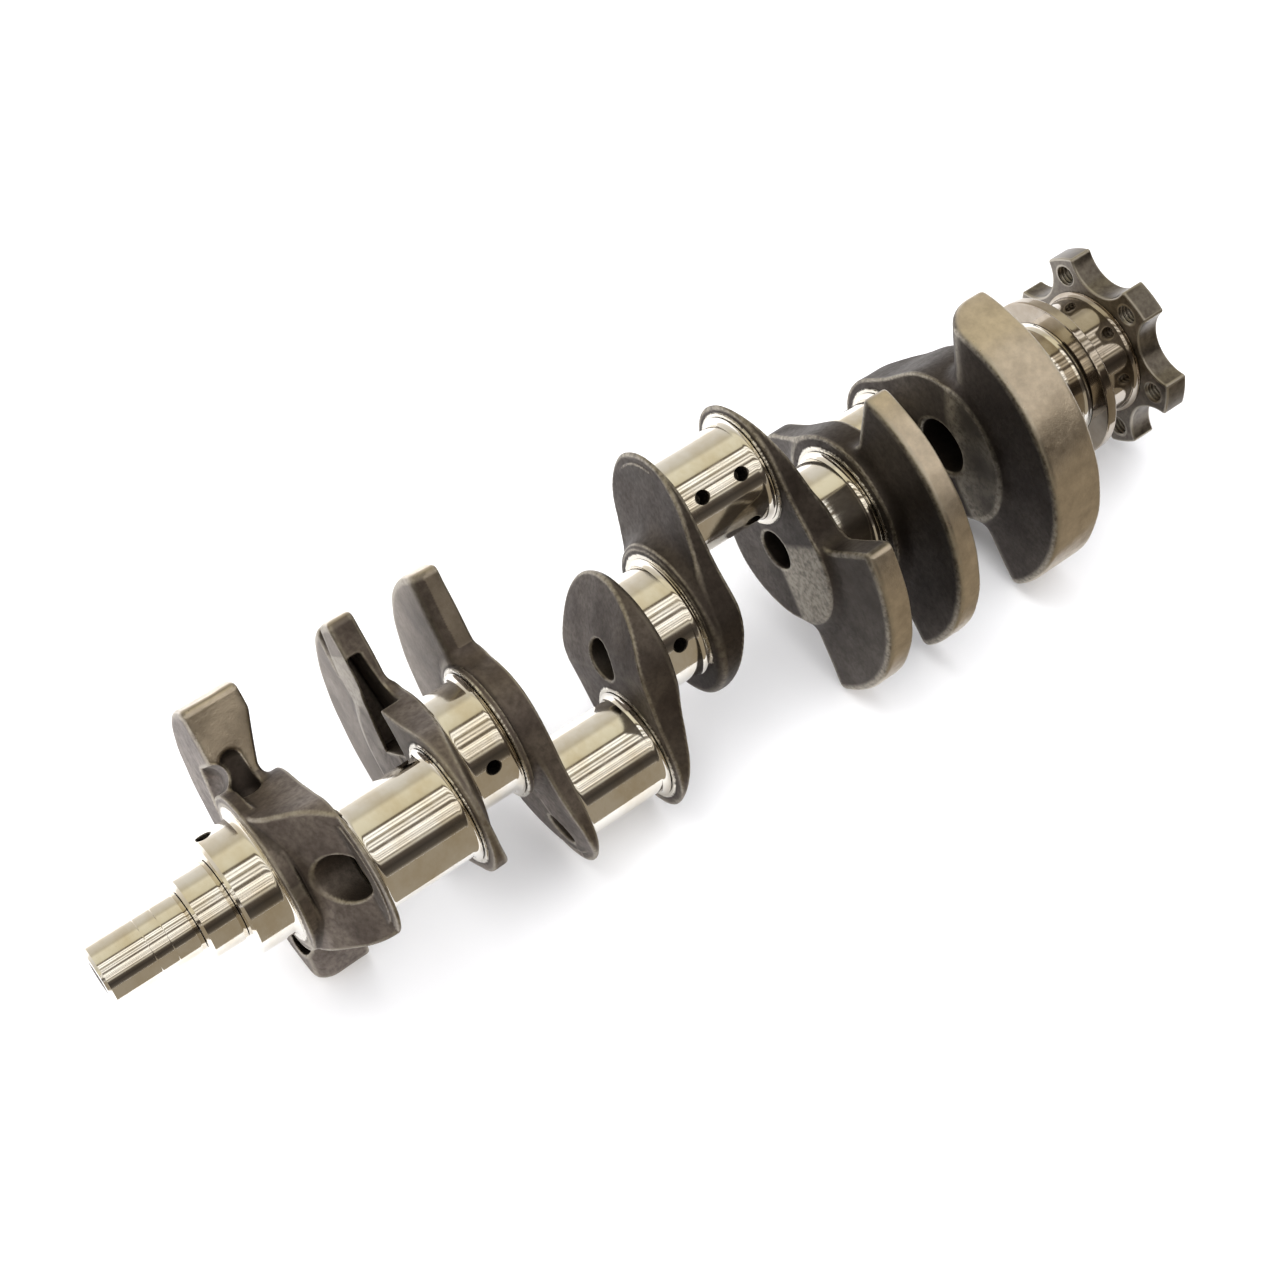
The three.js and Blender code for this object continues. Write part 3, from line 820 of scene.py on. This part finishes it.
def machined_steel():
    """Turned and milled faces: darker than the journals, with fine tool rings."""
    dark, light, rubbed = (0.120, 0.104, 0.090), (0.21, 0.188, 0.160), (0.52, 0.48, 0.41)
    rings_per_mm = 9.0
    material, tree, shader = new_material("machined_steel")
    place = attribute(tree, "shaft").outputs["Vector"]
    edge = attribute(tree, "edge").outputs["Fac"]
    mottle = noise(tree, place, 0.25, 4, 0.6)
    length = add_node(tree, "ShaderNodeVectorMath", operation="LENGTH")
    flat = add_node(tree, "ShaderNodeVectorMath", operation="MULTIPLY")
    flat.inputs[1].default_value = (0, 1, 1)
    tree.links.new(place, flat.inputs[0])
    tree.links.new(flat.outputs["Vector"], length.inputs[0])
    radius = math_node(tree, "MULTIPLY", length.outputs["Value"], rings_per_mm)
    rings = math_node(tree, "SINE", radius, 0)
    skin = blend_colors(tree, remap(tree, mottle, 0.35, 0.65, 0, 1), dark, light)
    color = blend_colors(tree, math_node(tree, "MULTIPLY", edge, 0.6), skin, rubbed)
    tree.links.new(color, shader.inputs["Base Color"])
    tree.links.new(remap(tree, mottle, 0.3, 0.7, 0.28, 0.42), shader.inputs["Roughness"])
    bump(tree, shader, rings, 0.12, 0.00004)
    return material


# ---- Sections of the shaft ----
def make_webs(material):
    for number, web in enumerate(WEBS, 1):
        main_x, turn, thick = web_frame(web)
        nodes = [f"web_{number}"]
        ends = [main_x, main_x + turn * thick]
        hub_reach = HUB_R + HUB_MARGIN
        reach = [[-hub_reach, hub_reach], [-hub_reach, hub_reach]]
        for axis in (0, 1):
            centre = PIN_CENTRES[web["pin"]][axis]
            reach[axis] = [min(reach[axis][0], centre - BOSS_R), max(reach[axis][1], centre + BOSS_R)]
        if "weight" in web:
            nodes.append(f"counterweight_{number}")
            ends += web["weight"]["x"]
            low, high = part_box(nodes[1])
            corners = [SHAFT.inverted() @ Vector((x, y, z)) for x in (low.x, high.x)
                       for y in (low.y, high.y) for z in (low.z, high.z)]
            for axis in (0, 1):
                values = [corner[axis + 1] for corner in corners]
                reach[axis] = [min(reach[axis][0], min(values)), max(reach[axis][1], max(values))]
                reach[axis] = [max(reach[axis][0], -COUNTERWEIGHT_R), min(reach[axis][1], COUNTERWEIGHT_R)]
        low = [min(ends) - GRID_MARGIN] + [limits[0] - GRID_MARGIN for limits in reach]
        high = [max(ends) + GRID_MARGIN] + [limits[1] + GRID_MARGIN for limits in reach]
        name = f"web_{number}_forging"
        piece, points = carved(name, web_distance(web), low, high, WEB_STEP, material)
        point_attribute(piece, "pad", "FLOAT", pad_mask(web, points))
        point_attribute(piece, "turned", "FLOAT", turned_rim_and_flank_highlight(web, points))
        settle_in(piece, "forged_steel", *nodes)


def make_journals(material):
    for i, (x0, x1) in enumerate(MAINS):
        name = f"main_journal_{i + 1}"
        profile = journal_profile(MAIN_R, x0, x1 - GAP, i == 0)
        piece = lathe(f"{name}_ground", profile, (0, 0), material)
        oil_x, angle = MAIN_OIL[i]
        cutters = [oil_drill(oil_x, MAIN_R, angle, (0, 0))]
        if i == 0:
            cutters.append(bore_drill(x1, (0, 0), MAIN_BORE_R, 1, MAIN_BORE_END))
        if i == 1:
            cutters.append(bore_drill(x1, (0, 0), MAIN_BORE_R, 1, MAIN_LENGTH / 2 + MAIN_BORE_END))
        if i in (2, 3):
            cutters.append(bore_drill(x0, (0, 0), MAIN_BORE_R, -1, MAIN_LENGTH / 2 + MAIN_BORE_END))
        if i == 4:
            cutters.append(bore_drill(x0, (0, 0), REAR_MAIN_BORE_R, -1, REAR_MAIN_BORE_DEPTH))
        finish_turned(piece, cutters, name)
    for i, (x0, x1) in enumerate(PINS):
        name = f"rod_journal_{i + 1}"
        centre = PIN_CENTRES[i]
        piece = lathe(f"{name}_ground", journal_profile(PIN_R, x0, x1 - GAP), centre, material)
        angle = PIN_ANGLES[i] + PIN_OIL_TURN
        cutters = [oil_drill(PIN_X[i] + side * PIN_LENGTH / 4, PIN_R, angle, centre) for side in (-1, 1)]
        opens_front = i < 2
        mouth = x0 if opens_front else x1 - GAP
        length = PIN_LENGTH - PIN_BORE_END
        turn = -1 if opens_front else 1
        cutters.append(bore_drill(mouth, PIN_BORE_CENTRES[i], PIN_BORE_R, turn, length))
        finish_turned(piece, cutters, name)


def undercut(shoulder, radius, relief):
    """The end of a profile: a shallow undercut before a shoulder."""
    length, depth = relief
    return [(shoulder - length, radius), (shoulder - length + RELIEF_SLOPE, radius - depth),
            (shoulder - GAP, radius - depth), (shoulder - GAP, 0)]


def make_front(material):
    profile = [(SNOUT_TIP, 0), (SNOUT_TIP, SNOUT_R - BEVEL), (SNOUT_TIP + BEVEL, SNOUT_R)]
    for x in SNOUT_GROOVES:
        profile += [(x - GROOVE_HALF_WIDTH, SNOUT_R), (x, SNOUT_R - GROOVE_DEPTH)]
        profile += [(x + GROOVE_HALF_WIDTH, SNOUT_R)]
    profile += undercut(SEAT_FRONT, SNOUT_R, SNOUT_RELIEF)
    piece = lathe("snout_turned", profile, (0, 0), material)
    bore = bore_drill(SNOUT_TIP, (0, 0), THREAD_R, -1, SNOUT_BORE_DEPTH, SNOUT_BORE_MOUTH)
    finish_turned(piece, [bore], "snout")
    profile = [(SEAT_FRONT, 0), (SEAT_FRONT, SEAT_R - BEVEL), (SEAT_FRONT + BEVEL, SEAT_R)]
    profile += undercut(MAIN_1_FRONT, SEAT_R, SEAT_RELIEF)
    piece = lathe("timing_gear_seat_turned", profile, (0, 0), material)
    finish_turned(piece, [], "timing_gear_seat")


def make_rear(ground, machined):
    edge = SLINGER_EDGE
    rear = SLINGER_REAR - GAP
    profile = [(SLINGER_FRONT, 0)] + arc(SLINGER_FRONT + edge, SLINGER_R - edge, edge, 180, 90)
    profile += arc(rear - edge, SLINGER_R - edge, edge, 90, 0) + [(rear, 0)]
    piece = lathe("oil_slinger_turned", profile, (0, 0), ground)
    finish_turned(piece, [], "oil_slinger")
    rear = FLANGE_FRONT - GAP
    front_r, rear_r = SEAL_FRONT_FILLET, SEAL_REAR_FILLET
    profile = [(SLINGER_REAR, 0)] + arc(SLINGER_REAR + front_r, SEAL_R + front_r, front_r, 180, 270)
    profile += arc(rear - rear_r, SEAL_R + rear_r, rear_r, 270, 360) + [(rear, 0)]
    piece = lathe("rear_seal_journal_turned", profile, (0, 0), ground)
    depth = PILOT_DEPTH - (FLANGE_REAR - FLANGE_FRONT)
    bore = bore_drill(rear, (0, 0), PILOT_R, 1, depth)
    finish_turned(piece, [bore], "rear_seal_journal")
    reach = FLANGE_R + FLANGE_MARGIN
    low = (FLANGE_FRONT - FLANGE_MARGIN, -reach, -reach)
    high = (FLANGE_REAR + FLANGE_MARGIN, reach, reach)
    piece, _ = carved("flywheel_flange_milled", flange_distance, low, high, FLANGE_STEP, machined)
    settle_in(piece, "machined_steel", "flywheel_flange")


def flange_distance(x, y, z):
    """A disc with round scallops between its six tapped lobes."""
    step = 2 * math.pi / LOBES
    half = step / 2 - math.radians(LOBE_HALF_ANGLE)
    chord_r = FLANGE_R * math.cos(half)
    half_chord = FLANGE_R * math.sin(half)
    sag = chord_r - FLANGE_WAIST_R
    scallop_r = (half_chord ** 2 + sag ** 2) / (2 * sag)
    radius = np.hypot(y, z)
    turn = np.arctan2(z, y) - math.radians(LOBE_ANGLE)
    turn = turn - step * np.round(turn / step)
    along, across = radius * np.cos(turn), radius * np.sin(turn)
    far = FLANGE_WAIST_R + scallop_r
    edge_y, edge_z = far * math.cos(step / 2), far * math.sin(step / 2)
    scallop = scallop_r - np.hypot(along - edge_y, np.abs(across) - edge_z)
    body = round_max(radius - FLANGE_R, scallop, 1.5)
    body = round_max(body, FLANGE_FRONT - x, 1.0)
    body = round_max(body, x - FLANGE_REAR, 1.0)
    round_hole = np.arctan2(across, along - BOLT_CIRCLE_R)
    thread = THREAD_DEPTH * np.cos(2 * math.pi * x / THREAD_PITCH - round_hole)
    body = cut(body, np.hypot(along - BOLT_CIRCLE_R, across) - THREAD_R - thread, 0.5)
    return cut(body, radius - PILOT_R, 0.9)


# ---- Camera, floor and light ----
# The camera was fitted to the journals' edges: metres and unit directions of the frame.
CAMERA_AIM = Vector((-0.01187, -0.00348, 0.080))
CAMERA_FORWARD = Vector((0.28009, 0.51832, -0.80802))
CAMERA_UP = Vector((0.54063, 0.61037, 0.57894))
CAMERA_DISTANCE = 1.05735
LENS = 60.137
SENSOR = 36


def add_camera():
    forward = CAMERA_FORWARD.normalized()
    right = forward.cross(CAMERA_UP.normalized()).normalized()
    up = right.cross(forward)
    rows = [[right[i], up[i], -forward[i]] for i in range(3)]
    place = CAMERA_AIM - forward * CAMERA_DISTANCE
    data = bpy.data.cameras.new("camera")
    data.lens = LENS
    data.sensor_width = SENSOR
    camera = bpy.data.objects.new("camera", data)
    camera.matrix_world = Matrix.Translation(place) @ Matrix(rows).to_4x4()
    bpy.context.scene.collection.objects.link(camera)
    bpy.context.scene.camera = camera


def add_sheet(name, near, far, side, height, material):
    """A level sheet from y = far to y = near."""
    corners = [(-side, far, height), (side, far, height), (side, near, height), (-side, near, height)]
    mesh = bpy.data.meshes.new(name)
    mesh.from_pydata(corners, [], [(0, 1, 2, 3)])
    mesh.materials.append(material)
    sheet = bpy.data.objects.new(name, mesh)
    bpy.context.scene.collection.objects.link(sheet)
    return sheet


def add_floor():
    material = bpy.data.materials.new("paper")
    material.use_nodes = True
    shader = material.node_tree.nodes["Principled BSDF"]
    shader.inputs["Base Color"].default_value = (0.90, 0.90, 0.90, 1)
    shader.inputs["Roughness"].default_value = 0.9
    shader.inputs["Specular IOR Level"].default_value = 0.1
    floor = add_sheet("floor", 4.0, -4.0, 4.0, 0.0, material)


def add_flag():
    """A brown card on the floor in front, which only the mirrored rays of the metal see."""
    material = bpy.data.materials.new("brown_card")
    material.use_nodes = True
    tree = material.node_tree
    tree.nodes.clear()
    glow = add_node(tree, "ShaderNodeEmission")
    glow.inputs["Color"].default_value = (0.36, 0.31, 0.235, 1)
    output = add_node(tree, "ShaderNodeOutputMaterial")
    tree.links.new(glow.outputs["Emission"], output.inputs["Surface"])
    flag = add_sheet("flag", -0.085, -3.5, 3.0, 0.002, material)
    flag.visible_camera = False
    flag.visible_diffuse = False
    flag.visible_shadow = False
    flag.visible_transmission = False


# Brightness of the studio round the shaft, by the angle in degrees from +Y over +Z, through one turn.
STUDIO_START = -150
STUDIO = [
    (-150, (0.95, 0.94, 0.92)), (-40, (0.95, 0.94, 0.92)), (0, (1.05, 1.00, 0.93)),
    (12, (0.84, 0.80, 0.73)), (30, (0.72, 0.68, 0.60)), (46, (0.62, 0.57, 0.45)),
    (55, (0.86, 0.80, 0.62)), (76, (0.80, 0.74, 0.56)), (84, (0.74, 0.68, 0.50)),
    (86, (0.16, 0.13, 0.09)), (89, (0.18, 0.15, 0.11)), (91, (1.70, 1.66, 1.56)),
    (101, (1.60, 1.56, 1.46)), (103, (0.50, 0.45, 0.34)), (106, (0.46, 0.41, 0.32)),
    (108, (1.50, 1.46, 1.36)), (118, (1.35, 1.30, 1.20)), (120, (0.22, 0.19, 0.15)),
    (124, (0.20, 0.17, 0.14)), (126, (1.55, 1.50, 1.40)), (143, (1.45, 1.38, 1.26)),
    (146, (0.55, 0.50, 0.40)), (150, (0.80, 0.75, 0.64)), (154, (0.10, 0.08, 0.065)),
    (165, (0.05, 0.042, 0.035)), (177, (0.10, 0.085, 0.07)), (184, (0.42, 0.37, 0.30)),
    (191, (0.20, 0.17, 0.13)), (200, (0.16, 0.14, 0.12)), (207, (0.70, 0.66, 0.60)),
]
STREAK_COLOR = (0.16, 0.13, 0.10)
STREAKS_PER_RADIAN = 17
STREAKS_FROM = (82, 90)  # the streaks come in between the first two angles
STREAKS_TO = (146, 154)  # and go out between these


def add_studio():
    """Softboxes and dark flags in long strips, which the polished journals mirror as lines."""
    world = bpy.data.worlds.new("studio")
    bpy.context.scene.world = world
    world.use_nodes = True
    tree = world.node_tree
    tree.nodes.clear()
    place = add_node(tree, "ShaderNodeTexCoord")
    parts = add_node(tree, "ShaderNodeSeparateXYZ")
    tree.links.new(place.outputs["Generated"], parts.inputs["Vector"])
    turn = add_node(tree, "ShaderNodeMath", operation="ARCTAN2")
    tree.links.new(parts.outputs["Z"], turn.inputs[0])
    tree.links.new(parts.outputs["Y"], turn.inputs[1])
    first, last = math.radians(STUDIO_START), math.radians(STUDIO_START + 360)
    wrapped = add_node(tree, "ShaderNodeMath", operation="WRAP")
    wrapped.inputs[1].default_value = first
    wrapped.inputs[2].default_value = last
    tree.links.new(turn.outputs[0], wrapped.inputs[0])
    angle = wrapped.outputs[0]
    factor = remap(tree, angle, first, last, 0, 1)
    ramp = add_node(tree, "ShaderNodeValToRGB")
    elements = ramp.color_ramp.elements
    elements[0].position, elements[1].position = 0.0, 1.0
    elements[0].color = (*STUDIO[0][1], 1)
    elements[1].color = (*STUDIO[-1][1], 1)
    for degrees, color in STUDIO[1:]:
        element = elements.new((degrees - STUDIO_START) / 360)
        element.color = (*color, 1)
    tree.links.new(factor, ramp.inputs["Fac"])
    streaks = add_node(tree, "ShaderNodeTexNoise", noise_dimensions="1D")
    streaks.inputs["Scale"].default_value = STREAKS_PER_RADIAN
    streaks.inputs["Detail"].default_value = 1
    tree.links.new(angle, streaks.inputs["W"])
    lines = remap(tree, streaks.outputs["Fac"], 0.40, 0.58, 0.75, 0)
    rise = remap(tree, angle, *(math.radians(degrees) for degrees in STREAKS_FROM), 0, 1)
    fall = remap(tree, angle, *(math.radians(degrees) for degrees in STREAKS_TO), 1, 0)
    lines = math_node(tree, "MULTIPLY", lines, math_node(tree, "MULTIPLY", rise, fall))
    streaked = blend_colors(tree, lines, ramp.outputs["Color"], STREAK_COLOR)
    path = add_node(tree, "ShaderNodeLightPath")
    color = blend_colors(tree, path.outputs["Is Diffuse Ray"], streaked, (1.50, 1.50, 1.54))
    color = blend_colors(tree, path.outputs["Is Camera Ray"], color, (1.0, 1.0, 1.0))
    background = add_node(tree, "ShaderNodeBackground")
    output = add_node(tree, "ShaderNodeOutputWorld")
    tree.links.new(color, background.inputs["Color"])
    tree.links.new(background.outputs["Background"], output.inputs["Surface"])


# Name, place, size in metres and power in watts of each soft lamp. Both aim at the origin.
LAMPS = [("key", (-0.3, 0.5, 1.7), 1.3, 16), ("fill", (0.4, -0.9, 1.8), 1.4, 6)]


def add_lights():
    for name, place, size, power in LAMPS:
        data = bpy.data.lights.new(name, "AREA")
        data.size = size
        data.energy = power
        lamp = bpy.data.objects.new(name, data)
        lamp.location = place
        lamp.rotation_euler = (-Vector(place)).to_track_quat("-Z", "Y").to_euler()
        lamp.visible_glossy = False
        bpy.context.scene.collection.objects.link(lamp)


ground = ground_steel("ground_steel", (0.82, 0.79, 0.73), (0.70, 0.63, 0.51))
# painted shade: a darker copy of the ground steel, for the oil slinger and the rear seal journal
seal_steel_shaded = ground_steel("seal_steel_painted_shade", (0.46, 0.41, 0.35), (0.30, 0.25, 0.19))
drilled_steel_painted_shade()
forged = forged_steel()
machined = machined_steel()
add_camera()
add_floor()
add_flag()
add_studio()
add_lights()
make_front(ground)
make_journals(ground)
make_webs(forged)
make_rear(seal_steel_shaded, machined)
bpy.context.scene.view_settings.view_transform = "Standard"
